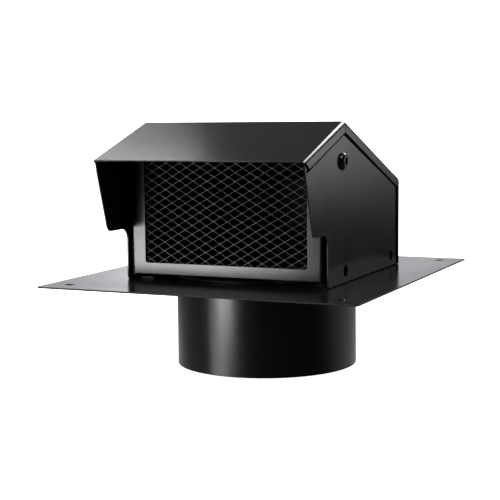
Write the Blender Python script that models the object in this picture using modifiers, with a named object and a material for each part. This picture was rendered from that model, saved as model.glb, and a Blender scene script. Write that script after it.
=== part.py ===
"""Roof vent cap: a folded sheet-steel hood with a mesh front, on a flat flashing with a duct collar.

Lengths are metres. X runs across the cap, -Y is the open front and +Z is up. The origin lies
on the collar's axis, at the collar's lower edge. Heights of the hood are above the flange.
"""

import math

import bmesh
import bpy
from mathutils import Matrix
from mathutils import Vector

# Sheet and fits
SHEET = 0.0010
GAP = 0.0003
CUT = 0.0100

# Flange plate
FLANGE_WIDTH = 0.2650
FLANGE_DEPTH = 0.2900
FLANGE_SHEET = 0.0012
FLANGE_CORNER = 0.0025
NAIL_HOLE = 0.0080
NAIL_INSET = 0.0190

# Duct collar
COLLAR_DIAMETER = 0.1500
COLLAR_WALL = 0.0008
COLLAR_LENGTH = 0.0752
RIM_ROLL = 0.0016
BEAD_GROOVE = 0.0012
COLLAR_STEPS = 60

# Hood section, as distances in front of and behind the collar's axis
HOOD_WIDTH = 0.1759
EAVE_REACH = 0.1312
EAVE_HEIGHT = 0.0983
RIDGE_REACH = 0.0469
RIDGE_HEIGHT = 0.1264
BACK_REACH = 0.0899
BACK_EAVE_HEIGHT = 0.0747
HOOD_LIFT = 0.0008

# Hood folds
HOOD_BEND = 0.0030
LIP_DEPTH = 0.0085
LIP_TRIM = 0.0095
BACK_LIP_DEPTH = 0.0052
BACK_LIP_TRIM = 0.0080
HEM_DEPTH = 0.0012
HEM_BEND = 0.0004
MITRE_SLIT = 0.0009
CORNER_RELIEF = 0.0012
BEND_STEPS = 4

# Side panels
PANEL_BEND = 0.0020
WELD_FLANGE = 0.0110
WELD_NOTCH = 0.0040
WING_SETBACK = 0.0020
WING_TIP_REACH = 0.1122
WING_HEIGHT = 0.0414
WING_RADIUS = 0.0060
NOTCH_RADIUS = 0.0080
LEG_REACH = 0.0818
LEG_RADIUS = 0.0020
SIDE_HOLE = 0.0095
SIDE_HOLE_HEIGHT = 0.0095
FRONT_HOLE_REACH = 0.0436
REAR_HOLE_REACH = 0.0700

# Screen frame
FRAME_SPACE = 0.0033
FRAME_BEND = 0.0020
FRAME_DROP = 0.0050
FRAME_BOTTOM = 0.0054
FRAME_FOOT = 0.0040
FOOT_WIDTH = 0.0030
CHEEK_TOP_REACH = 0.0300
CHEEK_BACK_REACH = 0.0720
CHEEK_BACK_HEIGHT = 0.0220
STILE_WIDTH = 0.0126
SILL_HEIGHT = 0.0144
HEAD_HEIGHT = 0.0126
WINDOW_RADIUS = 0.0020
TAB_LENGTH = 0.0180
TAB_WIDTH = 0.0130
FRONT_TAB_REACH = 0.0610
REAR_TAB_REACH = 0.0600

# Mesh screen
MESH_SHEET = 0.0008
MESH_MARGIN = 0.0080
MESH_BORDER = 0.0012
DIAMOND_WIDTH = 0.0122
DIAMOND_HEIGHT = 0.0070
STRAND = 0.0009
RETAINER_SHEET = 0.0010
RETAINER_STEP = 0.0010

# Peak screws
SCREW_REACH = 0.0500
SCREW_DROP = 0.0314
SCREW_SHANK = 0.0060
SCREW_CLEARANCE = 0.0003
SCREW_HEAD = 0.0138
SCREW_HEAD_HEIGHT = 0.0030
SCREW_TOP = 0.0090
SCREW_SOCKET = 0.0050
SCREW_SOCKET_DEPTH = 0.0018
SCREW_END = 0.0020
SPACER_DIAMETER = 0.0140
WASHER_DIAMETER = 0.0120
WASHER_SHEET = 0.0010
NUT_WIDTH = 0.0100
NUT_HEIGHT = 0.0048

# Frame rivets
RIVET_SHANK = 0.0032
RIVET_CLEARANCE = 0.0004
RIVET_HEAD = 0.0064
RIVET_HEAD_HEIGHT = 0.0013
RIVET_TAIL = 0.0052
RIVET_TAIL_HEIGHT = 0.0007

# Steps and tolerances of the meshes
TURNED_STEPS = 20
RIVET_STEPS = 12
ROLL_STEPS = 4
DOME_STEPS = 4
WELD_DISTANCE = 0.000001
SAME_PLACE = 0.00002
FLAT_ANGLE = 0.001
SMOOTH_ANGLE = 35

# Places that follow from the sizes
FLANGE_TOP = COLLAR_LENGTH
HOOD_FLOOR = FLANGE_TOP + HOOD_LIFT
HOOD_HALF = HOOD_WIDTH / 2
PANEL_HALF = HOOD_HALF - SHEET - GAP
FRAME_HALF = PANEL_HALF - SHEET - FRAME_SPACE
FRAME_FRONT = -LEG_REACH
WINDOW_HALF = FRAME_HALF - STILE_WIDTH
SILL = FLANGE_TOP + SILL_HEIGHT
EAVE = Vector((-EAVE_REACH, FLANGE_TOP + EAVE_HEIGHT))
RIDGE = Vector((-RIDGE_REACH, FLANGE_TOP + RIDGE_HEIGHT))
BACK_EAVE = Vector((BACK_REACH, FLANGE_TOP + BACK_EAVE_HEIGHT))
SCREW_Y = -SCREW_REACH
SCREW_HEIGHT = RIDGE.y - SCREW_DROP
SIDES = {"right": 1, "left": -1}

# A flat outline is drawn in its own x and y and carried along its own z
TURNS = {
    "X": Matrix(((0, 0, 1), (1, 0, 0), (0, 1, 0))).to_4x4(),
    "Y": Matrix(((1, 0, 0), (0, 0, -1), (0, 1, 0))).to_4x4(),
    "Z": Matrix.Identity(4),
}


def clear_scene():
    for item in list(bpy.data.objects):
        bpy.data.objects.remove(item, do_unlink=True)


def new_collection(name):
    group = bpy.data.collections.new(name)
    bpy.context.scene.collection.children.link(group)
    return group


def paint(name, colour, roughness, metallic):
    """A plain finish for one sub-part."""
    material = bpy.data.materials.new(name)
    material.use_nodes = True
    shader = material.node_tree.nodes["Principled BSDF"]
    shader.inputs["Base Color"].default_value = (*colour, 1)
    shader.inputs["Roughness"].default_value = roughness
    shader.inputs["Metallic"].default_value = metallic
    return material


def black_coat(name):
    """Satin black powder coat on steel sheet."""
    return paint(name, (0.012, 0.012, 0.013), 0.38, 0.0)


def black_steel(name):
    """Blackened steel of the fasteners."""
    return paint(name, (0.020, 0.020, 0.021), 0.30, 0.8)


def add_object(name, mesh, group):
    item = bpy.data.objects.new(name, mesh)
    group.objects.link(item)
    return item


def final_mesh(item):
    """A new mesh of the item as it is shown, with its modifiers applied."""
    bpy.context.view_layer.update()
    shown = item.evaluated_get(bpy.context.evaluated_depsgraph_get())
    return bpy.data.meshes.new_from_object(shown)


def prism(name, outline, low, high, axis, group, holes=()):
    """A flat outline carried from low to high along an axis: one closed mesh in world space."""
    curve = bpy.data.curves.new(name, "CURVE")
    curve.dimensions = "2D"
    curve.fill_mode = "BOTH"
    curve.extrude = (high - low) / 2
    for points in (outline, *holes):
        spline = curve.splines.new("POLY")
        spline.points.add(len(points) - 1)
        for point, place in zip(spline.points, points):
            point.co = (place[0], place[1], 0, 1)
        spline.use_cyclic_u = True
    drawn = add_object(name, curve, group)
    mesh = final_mesh(drawn)
    bpy.data.objects.remove(drawn, do_unlink=True)
    edit = bmesh.new()
    edit.from_mesh(mesh)
    bmesh.ops.remove_doubles(edit, verts=edit.verts, dist=WELD_DISTANCE)
    if not holes:
        bmesh.ops.dissolve_limit(edit, angle_limit=FLAT_ANGLE, verts=edit.verts, edges=edit.edges)
    bmesh.ops.recalc_face_normals(edit, faces=edit.faces)
    edit.to_mesh(mesh)
    edit.free()
    middle = (low + high) / 2
    if axis == "Y":
        middle = -middle
    mesh.transform(TURNS[axis] @ Matrix.Translation((0, 0, middle)))
    mesh.name = name
    return add_object(name, mesh, group)


def box(name, x_span, y_span, z_span, group):
    """A plain block between two values on each axis."""
    mesh = bpy.data.meshes.new(name)
    size = [high - low for low, high in (x_span, y_span, z_span)]
    middle = [(high + low) / 2 for low, high in (x_span, y_span, z_span)]
    edit = bmesh.new()
    bmesh.ops.create_cube(edit, size=1, matrix=Matrix.Translation(middle) @ Matrix.Diagonal((*size, 1)))
    edit.to_mesh(mesh)
    edit.free()
    return add_object(name, mesh, group)


def rod(name, radius, low, high, axis, centre, group, steps=TURNED_STEPS):
    """A round or many-sided bar from low to high along an axis, through a centre on the other two."""
    mesh = bpy.data.meshes.new(name)
    edit = bmesh.new()
    bmesh.ops.create_cone(
        edit, cap_ends=True, segments=steps, radius1=radius, radius2=radius, depth=high - low
    )
    edit.to_mesh(mesh)
    edit.free()
    middle = (low + high) / 2
    if axis == "X":
        mesh.transform(Matrix.Translation((middle, *centre)) @ TURNS["X"])
    elif axis == "Y":
        mesh.transform(Matrix.Translation((centre[0], middle, centre[1])) @ TURNS["Y"])
    else:
        mesh.transform(Matrix.Translation((*centre, middle)))
    return add_object(name, mesh, group)


def turned(name, profile, group, steps=TURNED_STEPS):
    """A profile of radius and height, down its outer side and back up its inner side, turned about Z."""
    mesh = bpy.data.meshes.new(name)
    points = [(radius, 0, height) for radius, height in profile]
    links = [(index, index + 1) for index in range(len(points) - 1)]
    if profile[0][0] > 0:
        links.append((len(points) - 1, 0))
    mesh.from_pydata(points, links, [])
    item = add_object(name, mesh, group)
    screw = item.modifiers.new("Turn", "SCREW")
    screw.axis = "Z"
    screw.angle = math.tau
    screw.steps = steps
    screw.render_steps = steps
    screw.use_merge_vertices = True
    screw.merge_threshold = WELD_DISTANCE
    return item


def shade_round(item):
    """Fixes the item's final mesh and shades it smooth between its hard edges."""
    mesh = final_mesh(item)
    item.modifiers.clear()
    item.data = mesh
    mesh.name = item.name
    mesh.shade_smooth()
    mesh.set_sharp_from_angle(angle=math.radians(SMOOTH_ANGLE))


def cut(item, cutter, operation="DIFFERENCE"):
    """Takes the cutter's volume out of the item, or keeps only what both share."""
    boolean = item.modifiers.new(cutter.name, "BOOLEAN")
    boolean.operation = operation
    boolean.solver = "EXACT"
    boolean.object = cutter
    cutter.hide_render = True
    cutter.display_type = "WIRE"


def round_edges(item, radius, chosen):
    """Rounds each edge whose two ends pass the test, and splits the corner faces that aren't flat."""
    if radius <= 0:
        return
    edit = bmesh.new()
    edit.from_mesh(item.data)
    edges = [edge for edge in edit.edges if chosen(edge.verts[0].co, edge.verts[1].co)]
    bmesh.ops.bevel(
        edit, geom=edges, offset=radius, segments=BEND_STEPS, profile=0.5, affect="EDGES", clamp_overlap=True
    )
    bmesh.ops.connect_verts_nonplanar(edit, angle_limit=FLAT_ANGLE, faces=edit.faces)
    edit.to_mesh(item.data)
    edit.free()


def same(first, second):
    return abs(first - second) < SAME_PLACE


def span(side, near, far):
    """The low and high X of a stretch between two distances from the middle, on one side."""
    return tuple(sorted((side * near, side * far)))


def arc(centre, radius, start, end, steps):
    """Points along an arc, with both ends, for angles in degrees."""
    points = []
    for index in range(steps + 1):
        angle = math.radians(start + (end - start) * index / steps)
        points.append((centre[0] + radius * math.cos(angle), centre[1] + radius * math.sin(angle)))
    return points


def rounded(corners):
    """A closed outline whose corners, given as a point and a radius, are rounded by arcs."""
    outline = []
    count = len(corners)
    for index, (corner, radius) in enumerate(corners):
        if radius <= 0:
            outline.append(tuple(corner))
            continue
        here = Vector(corner)
        back = (Vector(corners[index - 1][0]) - here).normalized()
        ahead = (Vector(corners[(index + 1) % count][0]) - here).normalized()
        half = back.angle(ahead) / 2
        centre = here + (back + ahead).normalized() * radius / math.sin(half)
        first = here + back * radius / math.tan(half) - centre
        last = here + ahead * radius / math.tan(half) - centre
        sweep = -first.angle_signed(last)
        for step in range(BEND_STEPS + 1):
            turn = Matrix.Rotation(sweep * step / BEND_STEPS, 2)
            outline.append(tuple(centre + turn @ first))
    return outline


def rectangle(half_width, low, high, radius=0.0):
    corners = ((-half_width, low), (half_width, low), (half_width, high), (-half_width, high))
    return rounded([(corner, radius) for corner in corners])


def circle(centre, diameter, steps):
    return arc(centre, diameter / 2, 0, 360 * (steps - 1) / steps, steps - 1)


def slopes():
    """Rise of the front slope and fall of the back slope, per metre."""
    front = (RIDGE.y - EAVE.y) / (RIDGE.x - EAVE.x)
    back = (RIDGE.y - BACK_EAVE.y) / (BACK_EAVE.x - RIDGE.x)
    return front, back


def front_slope(y, inset):
    """Height of the front slope at y, moved in by inset square to the sheet."""
    rise, _ = slopes()
    return RIDGE.y + rise * (y - RIDGE.x) - inset * math.hypot(1, rise)


def back_slope(y, inset):
    _, fall = slopes()
    return RIDGE.y - fall * (y - RIDGE.x) - inset * math.hypot(1, fall)


def ridge_at(inset):
    """The fold of the ridge, moved in by inset from both slopes."""
    rise, fall = slopes()
    shift = inset * (math.hypot(1, rise) - math.hypot(1, fall)) / (rise + fall)
    y = RIDGE.x + shift
    return y, front_slope(y, inset)


def hood_section(inset, front, floor, wall=None, foot=None):
    """The hood's section in Y and Z, moved in by inset from its slopes, and by wall from its back."""
    back = BACK_EAVE.x - (inset if wall is None else wall)
    return [
        (front, front_slope(front, inset)),
        ridge_at(inset),
        (back, back_slope(back, inset)),
        (back, floor),
        (front if foot is None else foot, floor),
    ]


def hem_line(inset, z):
    """Y at height z of the eave's hem, which stands square to the front slope, moved in by inset."""
    rise, _ = slopes()
    return EAVE.x + inset * math.hypot(1, rise) + rise * (EAVE.y - z)


def mitre_slits(inset, name, low_x, high_x):
    """Thin blocks that part the folded lips at the ridge and at the back eave."""
    ridge_y, ridge_z = ridge_at(inset)
    reach = LIP_DEPTH + CUT
    clear = HOOD_BEND + GAP
    peak = box(
        name + "_ridge_slit",
        (low_x, high_x),
        (ridge_y - MITRE_SLIT / 2, ridge_y + MITRE_SLIT / 2),
        (ridge_z - reach, ridge_z - clear),
        CUTTERS,
    )
    _, fall = slopes()
    corner = Vector((BACK_EAVE.x - inset, back_slope(BACK_EAVE.x - inset, inset)))
    inward = (Vector((-1, fall)).normalized() + Vector((0, -1))).normalized()
    across = Vector((-inward.y, inward.x)) * MITRE_SLIT / 2
    near = corner + inward * clear
    far = corner + inward * reach
    outline = [near - across, far - across, far + across, near + across]
    return peak, prism(name + "_eave_slit", outline, low_x, high_x, "X", CUTTERS)


def make_flange_plate():
    """The flat flashing, with its round opening, four nail holes and the countersunk holes of the rivets."""
    half_depth = FLANGE_DEPTH / 2
    outline = rectangle(FLANGE_WIDTH / 2, -half_depth, half_depth, FLANGE_CORNER)
    holes = [circle((0, 0), COLLAR_DIAMETER + 2 * GAP, COLLAR_STEPS)]
    for x in (-1, 1):
        for y in (-1, 1):
            centre = (x * (FLANGE_WIDTH / 2 - NAIL_INSET), y * (half_depth - NAIL_INSET))
            holes.append(circle(centre, NAIL_HOLE, TURNED_STEPS))
    bottom = FLANGE_TOP - FLANGE_SHEET
    plate = prism("flange_plate", outline, bottom, FLANGE_TOP, "Z", PARTS, holes)
    shank = RIVET_SHANK / 2 + RIVET_CLEARANCE
    tail = RIVET_TAIL / 2 + RIVET_CLEARANCE
    profile = [
        (0, FLANGE_TOP + CUT),
        (shank, FLANGE_TOP + CUT),
        (shank, bottom + RIVET_TAIL_HEIGHT),
        (tail, bottom),
        (tail, bottom - CUT),
        (0, bottom - CUT),
    ]
    for name, place in rivet_places().items():
        sink = turned(name + "_sink", profile, CUTTERS, RIVET_STEPS)
        sink.location = (*place, 0)
        cut(plate, sink)
    plate.data.materials.append(black_coat("flange_coat"))


def make_collar():
    """The duct stub: its top edge is rolled over the flange and a bead bears on the underside."""
    outer = COLLAR_DIAMETER / 2
    inner = outer - COLLAR_WALL
    roll = (outer + RIM_ROLL, FLANGE_TOP + GAP)
    bead_outer = BEAD_GROOVE + COLLAR_WALL
    bead = (inner, FLANGE_TOP - FLANGE_SHEET - GAP - bead_outer)
    spread = math.degrees(math.acos(COLLAR_WALL / bead_outer))
    profile = arc(roll, RIM_ROLL + COLLAR_WALL, 180, 0, ROLL_STEPS)
    profile += arc(roll, RIM_ROLL, 0, 180, ROLL_STEPS)
    profile += arc(bead, bead_outer, spread, -spread, ROLL_STEPS)
    profile += [(outer, 0), (inner, 0)]
    profile += arc(bead, BEAD_GROOVE, -90, 90, ROLL_STEPS)
    collar = turned("collar", profile, PARTS, COLLAR_STEPS)
    collar.data.materials.append(black_coat("collar_coat"))


def relief_outline(side):
    """What lies outside the rounded corner of the roof sheet at the eave."""
    edge = side * HOOD_HALF
    turn = side * (HOOD_HALF - CORNER_RELIEF)
    back = EAVE.x + CORNER_RELIEF
    sweep = (-90, 0) if side > 0 else (-90, -180)
    return [
        *arc((turn, back), CORNER_RELIEF, *sweep, BEND_STEPS),
        (edge + side * CUT, back),
        (edge + side * CUT, EAVE.x - CUT),
        (turn, EAVE.x - CUT),
    ]


def make_roof_cover():
    """Front slope, back slope and back wall in one folded sheet, with lips over the side panels."""
    floor = FLANGE_TOP - CUT
    section = hood_section(0, EAVE.x, HOOD_FLOOR, foot=hem_line(0, HOOD_FLOOR))
    cover = prism("roof_cover", section, -HOOD_HALF, HOOD_HALF, "X", PARTS)

    def on_floor(a, b, height):
        return same(a.z, height) and same(b.z, height)

    def on_hem(a, b, inset):
        return same(a.y, hem_line(inset, a.z)) and same(b.y, hem_line(inset, b.z))

    round_edges(cover, HOOD_BEND, lambda a, b: not on_floor(a, b, HOOD_FLOOR) and not on_hem(a, b, 0))
    round_edges(cover, HEM_BEND, lambda a, b: on_hem(a, b, 0) and not on_floor(a, b, HOOD_FLOOR))

    rise, _ = slopes()
    lean = math.hypot(1, rise)
    inside_half = HOOD_HALF - SHEET
    inside_front = EAVE.x + SHEET * (1 + rise) / lean
    section = hood_section(SHEET, inside_front, floor, foot=hem_line(SHEET, floor))
    inside = prism("hood_inside", section, -inside_half, inside_half, "X", CUTTERS)
    round_edges(inside, HOOD_BEND - SHEET, lambda a, b: not on_floor(a, b, floor) and not on_hem(a, b, SHEET))
    cut(cover, inside)

    wide = HOOD_HALF + CUT
    far = EAVE.x - CUT
    lip_section = hood_section(LIP_DEPTH, far, floor, wall=BACK_LIP_DEPTH)
    cut(cover, prism("lip_edge", lip_section, -wide, wide, "X", CUTTERS))
    trim_y = EAVE.x + LIP_TRIM
    hem_back = EAVE.x + (SHEET + GAP + rise * HEM_DEPTH) / lean
    eave_trim = [
        (far, floor),
        (far, front_slope(far, HEM_DEPTH)),
        (hem_back, front_slope(hem_back, HEM_DEPTH)),
        (trim_y, front_slope(trim_y, LIP_DEPTH)),
        (trim_y, floor),
    ]
    cut(cover, prism("eave_trim", eave_trim, -wide, wide, "X", CUTTERS))
    lip_y = BACK_EAVE.x - BACK_LIP_DEPTH
    back_trim = [
        (lip_y - CUT, floor),
        (lip_y - CUT, HOOD_FLOOR + BACK_LIP_TRIM),
        (lip_y, HOOD_FLOOR + BACK_LIP_TRIM),
        (BACK_EAVE.x - HOOD_BEND, HOOD_FLOOR),
        (BACK_EAVE.x - HOOD_BEND, floor),
    ]
    cut(cover, prism("back_lip_trim", back_trim, -wide, wide, "X", CUTTERS))
    for label, side in SIDES.items():
        relief = prism("corner_relief_" + label, relief_outline(side), FLANGE_TOP, RIDGE.y, "Z", CUTTERS)
        cut(cover, relief)
    for slit in mitre_slits(0, "lip", -wide, wide):
        cut(cover, slit)
    cover.data.materials.append(black_coat("roof_coat"))


def wing_cutter(name, side):
    """What lies in front of the side panel's wing and leg, and below its lower edge."""
    top = RIDGE.y + CUT
    eave_y = EAVE.x + WING_SETBACK
    lean = (eave_y + WING_TIP_REACH) / (EAVE_HEIGHT - WING_HEIGHT)
    top_y = eave_y + lean * (top - EAVE.y)
    far = min(top_y, EAVE.x - CUT) - CUT
    wing_z = FLANGE_TOP + WING_HEIGHT
    corners = [
        ((far, top), 0),
        ((top_y, top), 0),
        ((-WING_TIP_REACH, wing_z), WING_RADIUS),
        ((-LEG_REACH, wing_z), NOTCH_RADIUS),
        ((-LEG_REACH, HOOD_FLOOR), LEG_RADIUS),
        ((BACK_REACH + CUT, HOOD_FLOOR), 0),
        ((BACK_REACH + CUT, FLANGE_TOP - CUT), 0),
        ((far, FLANGE_TOP - CUT), 0),
    ]
    low, high = span(side, PANEL_HALF - WELD_FLANGE - CUT, PANEL_HALF + CUT)
    return prism(name, rounded(corners), low, high, "X", CUTTERS)


def make_side_panel(label, side):
    """One side wall: a wing in front, a leg and holes below, and weld flanges folded in under the roof."""
    name = "side_panel_" + label
    front = -EAVE_REACH - CUT
    floor = FLANGE_TOP - CUT
    inset = SHEET + GAP

    def free_end(a, b):
        on_floor = same(a.z, floor) and same(b.z, floor)
        on_front = same(a.y, front) and same(b.y, front)
        return on_floor or on_front

    def roof_fold(a, b):
        return not same(a.x, b.x) and not free_end(a, b)

    def panel_fold(face):
        return lambda a, b: same(a.x, face) and same(b.x, face) and not free_end(a, b)

    low, high = span(side, PANEL_HALF - WELD_FLANGE, PANEL_HALF)
    panel = prism(name, hood_section(inset, front, floor), low, high, "X", PARTS)
    round_edges(panel, HOOD_BEND - SHEET, roof_fold)
    round_edges(panel, PANEL_BEND, panel_fold(side * PANEL_HALF))
    low, high = span(side, PANEL_HALF - WELD_FLANGE - CUT, PANEL_HALF - SHEET)
    hollow = prism(name + "_hollow", hood_section(inset + SHEET, front, floor), low, high, "X", CUTTERS)
    round_edges(hollow, HOOD_BEND - 2 * SHEET, roof_fold)
    round_edges(hollow, PANEL_BEND - SHEET, panel_fold(side * (PANEL_HALF - SHEET)))
    cut(panel, hollow)
    cut(panel, wing_cutter(name + "_wing", side))
    low, high = span(side, PANEL_HALF - WELD_FLANGE - CUT, PANEL_HALF - PANEL_BEND)
    for notch in weld_notches(inset, name, low, high):
        cut(panel, notch)
    low, high = span(side, PANEL_HALF - CUT, PANEL_HALF + CUT)
    hole_z = FLANGE_TOP + SIDE_HOLE_HEIGHT
    for place, y in (("front", -FRONT_HOLE_REACH), ("rear", REAR_HOLE_REACH)):
        cutter = rod(f"{name}_{place}_hole", SIDE_HOLE / 2, low, high, "X", (y, hole_z), CUTTERS)
        cut(panel, cutter)
    radius = SCREW_SHANK / 2 + SCREW_CLEARANCE
    cut(panel, rod(name + "_screw_hole", radius, low, high, "X", (SCREW_Y, SCREW_HEIGHT), CUTTERS))
    panel.data.materials.append(black_coat(name + "_coat"))


def weld_notches(inset, name, low_x, high_x):
    """Notches that part the weld flanges where the roof folds."""
    ridge_y, ridge_z = ridge_at(inset)
    ridge = box(
        name + "_ridge_notch",
        (low_x, high_x),
        (ridge_y - WELD_NOTCH, ridge_y + WELD_NOTCH),
        (ridge_z - CUT, ridge_z + CUT),
        CUTTERS,
    )
    wall_y = BACK_EAVE.x - inset
    corner_z = back_slope(wall_y, inset)
    eave = box(
        name + "_eave_notch",
        (low_x, high_x),
        (wall_y - WELD_NOTCH, wall_y + CUT),
        (corner_z - WELD_NOTCH, corner_z + CUT),
        CUTTERS,
    )
    return ridge, eave


def rivet_places():
    """X and Y of the four rivets that hold the screen frame's tabs to the flange, by name."""
    x = FRAME_HALF - TAB_WIDTH / 2
    places = {}
    for label, side in SIDES.items():
        places["frame_rivet_front_" + label] = (side * x, -FRONT_TAB_REACH)
        places["frame_rivet_rear_" + label] = (side * x, REAR_TAB_REACH)
    return places


def window_top():
    return front_slope(FRAME_FRONT, FRAME_DROP) - HEAD_HEIGHT


def make_screen_frame():
    """The front frame with its window, folded back at both sides into cheeks that stand on tabs."""
    bottom = FLANGE_TOP + GAP
    ridge_y, ridge_z = ridge_at(FRAME_DROP)
    section = [
        (FRAME_FRONT, bottom),
        (FRAME_FRONT, front_slope(FRAME_FRONT, FRAME_DROP)),
        (ridge_y, ridge_z),
        (-CHEEK_TOP_REACH, back_slope(-CHEEK_TOP_REACH, FRAME_DROP)),
        (CHEEK_BACK_REACH, FLANGE_TOP + CHEEK_BACK_HEIGHT),
        (CHEEK_BACK_REACH, bottom),
    ]
    frame = prism("screen_frame", section, -FRAME_HALF, FRAME_HALF, "X", PARTS)

    def tray_folds(front, floor):
        def test(a, b):
            on_front = same(a.y, front) and same(b.y, front)
            on_floor = same(a.z, floor) and same(b.z, floor)
            return (same(a.x, b.x) and (on_front or on_floor)) or (on_front and on_floor)

        return test

    round_edges(frame, FRAME_BEND, tray_folds(FRAME_FRONT, bottom))
    high = RIDGE.y + CUT
    back = CHEEK_BACK_REACH + CUT
    inner_front = FRAME_FRONT + SHEET
    inner_bottom = bottom + SHEET
    inner_half = FRAME_HALF - SHEET
    tray = [(inner_front, inner_bottom), (inner_front, high), (back, high), (back, inner_bottom)]
    hollow = prism("frame_inside", tray, -inner_half, inner_half, "X", CUTTERS)
    round_edges(hollow, FRAME_BEND - SHEET, tray_folds(inner_front, inner_bottom))
    cut(frame, hollow)

    window = rectangle(WINDOW_HALF, SILL, window_top(), WINDOW_RADIUS)
    cut(frame, prism("window", window, FRAME_FRONT - CUT, FRAME_FRONT + CUT, "Y", CUTTERS))

    under = FLANGE_TOP - CUT
    wide = FRAME_HALF + CUT
    inner_edge = FRAME_HALF - TAB_WIDTH
    above = inner_bottom + SHEET
    cut(frame, box("frame_floor", (-inner_edge, inner_edge), (inner_front, back), (under, above), CUTTERS))
    rail = FRAME_HALF - FOOT_WIDTH
    front = FRAME_FRONT - CUT
    edge = FLANGE_TOP + FRAME_BOTTOM
    cut(frame, box("front_gap", (-rail, rail), (front, inner_front + CUT), (under, edge), CUTTERS))
    foot = FLANGE_TOP + FRAME_FOOT
    half_tab = TAB_LENGTH / 2
    stretches = (
        ("front_foot", front, -FRONT_TAB_REACH - half_tab),
        ("middle_foot", -FRONT_TAB_REACH + half_tab, REAR_TAB_REACH - half_tab),
        ("rear_foot", REAR_TAB_REACH + half_tab, back),
    )
    for name, start, end in stretches:
        cut(frame, box(name, (-wide, wide), (start, end), (under, foot), CUTTERS))
    radius = RIVET_SHANK / 2 + RIVET_CLEARANCE
    for name, place in rivet_places().items():
        cut(frame, rod(name + "_hole", radius, under, above, "Z", place, CUTTERS, RIVET_STEPS))
    radius = SCREW_SHANK / 2 + SCREW_CLEARANCE
    cut(frame, rod("cheek_screw_holes", radius, -wide, wide, "X", (SCREW_Y, SCREW_HEIGHT), CUTTERS))
    frame.data.materials.append(black_coat("frame_coat"))


def diamond(x, z):
    """One opening of the mesh, smaller than its cell by half a strand on each side."""
    cell = math.hypot(DIAMOND_WIDTH, DIAMOND_HEIGHT)
    half_width = DIAMOND_WIDTH / 2 - STRAND / 2 * cell / DIAMOND_HEIGHT
    half_height = DIAMOND_HEIGHT / 2 - STRAND / 2 * cell / DIAMOND_WIDTH
    return [(x - half_width, z), (x, z - half_height), (x + half_width, z), (x, z + half_height)]


def mesh_diamonds(half_width, low, high):
    """Openings in staggered rows, centred across the sheet and up from the window's middle."""
    middle = (low + high) / 2
    columns = math.ceil(half_width / DIAMOND_WIDTH * 2)
    rows = math.ceil((high - middle) / DIAMOND_HEIGHT * 2)
    openings = []
    for row in range(-rows, rows + 1):
        for column in range(-columns, columns + 1):
            if (row + column) % 2:
                continue
            x = column * DIAMOND_WIDTH / 2
            z = middle + row * DIAMOND_HEIGHT / 2
            inside_x = abs(x) + DIAMOND_WIDTH / 2 <= half_width - MESH_BORDER
            inside_z = abs(z - middle) + DIAMOND_HEIGHT / 2 <= high - middle - MESH_BORDER
            if inside_x and inside_z:
                openings.append(diamond(x, z))
    return openings


def make_mesh_screen():
    """The diamond mesh behind the window, and the flat retainer that clamps its edges."""
    half_width = WINDOW_HALF + MESH_MARGIN
    low = SILL - MESH_MARGIN
    high = window_top() + MESH_MARGIN
    outline = rectangle(half_width, low, high)
    mesh_front = FRAME_FRONT + SHEET + GAP
    mesh_back = mesh_front + MESH_SHEET
    openings = mesh_diamonds(half_width, low, high)
    screen = prism("mesh_screen", outline, mesh_front, mesh_back, "Y", PARTS, openings)
    screen.data.materials.append(black_coat("mesh_coat"))

    opening = rectangle(
        WINDOW_HALF + RETAINER_STEP, SILL - RETAINER_STEP, window_top() + RETAINER_STEP, WINDOW_RADIUS
    )
    start = mesh_back + GAP
    retainer = prism("mesh_retainer", outline, start, start + RETAINER_SHEET, "Y", PARTS, [opening])
    retainer.data.materials.append(black_coat("retainer_coat"))


def dome(top, edge, height):
    """Radius and height of points down a domed head, from its flat top's edge to its rim."""
    drop = (edge**2 - top**2 - height**2) / (2 * height)
    sphere = math.hypot(edge, drop)
    first = math.asin(top / sphere)
    last = math.asin(edge / sphere)
    points = []
    for step in range(DOME_STEPS):
        angle = first + (last - first) * step / DOME_STEPS
        points.append((sphere * math.sin(angle), sphere * math.cos(angle) - drop))
    return [*points, (edge, 0)]


def place_on_peak(item, start, side):
    """Turns a piece built along Z onto the peak screw's axis, pointing outwards."""
    item.rotation_euler = (0, side * math.pi / 2, 0)
    item.location = (side * start, SCREW_Y, SCREW_HEIGHT)


def peak_ring(name, outer, inner, low, high, side):
    """A flat ring on the peak screw's axis, between two distances from the middle."""
    profile = [(outer, high - low), (outer, 0), (inner, 0), (inner, high - low)]
    item = turned(name, profile, PARTS)
    item.data.materials.append(black_steel(name + "_steel"))
    place_on_peak(item, low, side)


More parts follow.
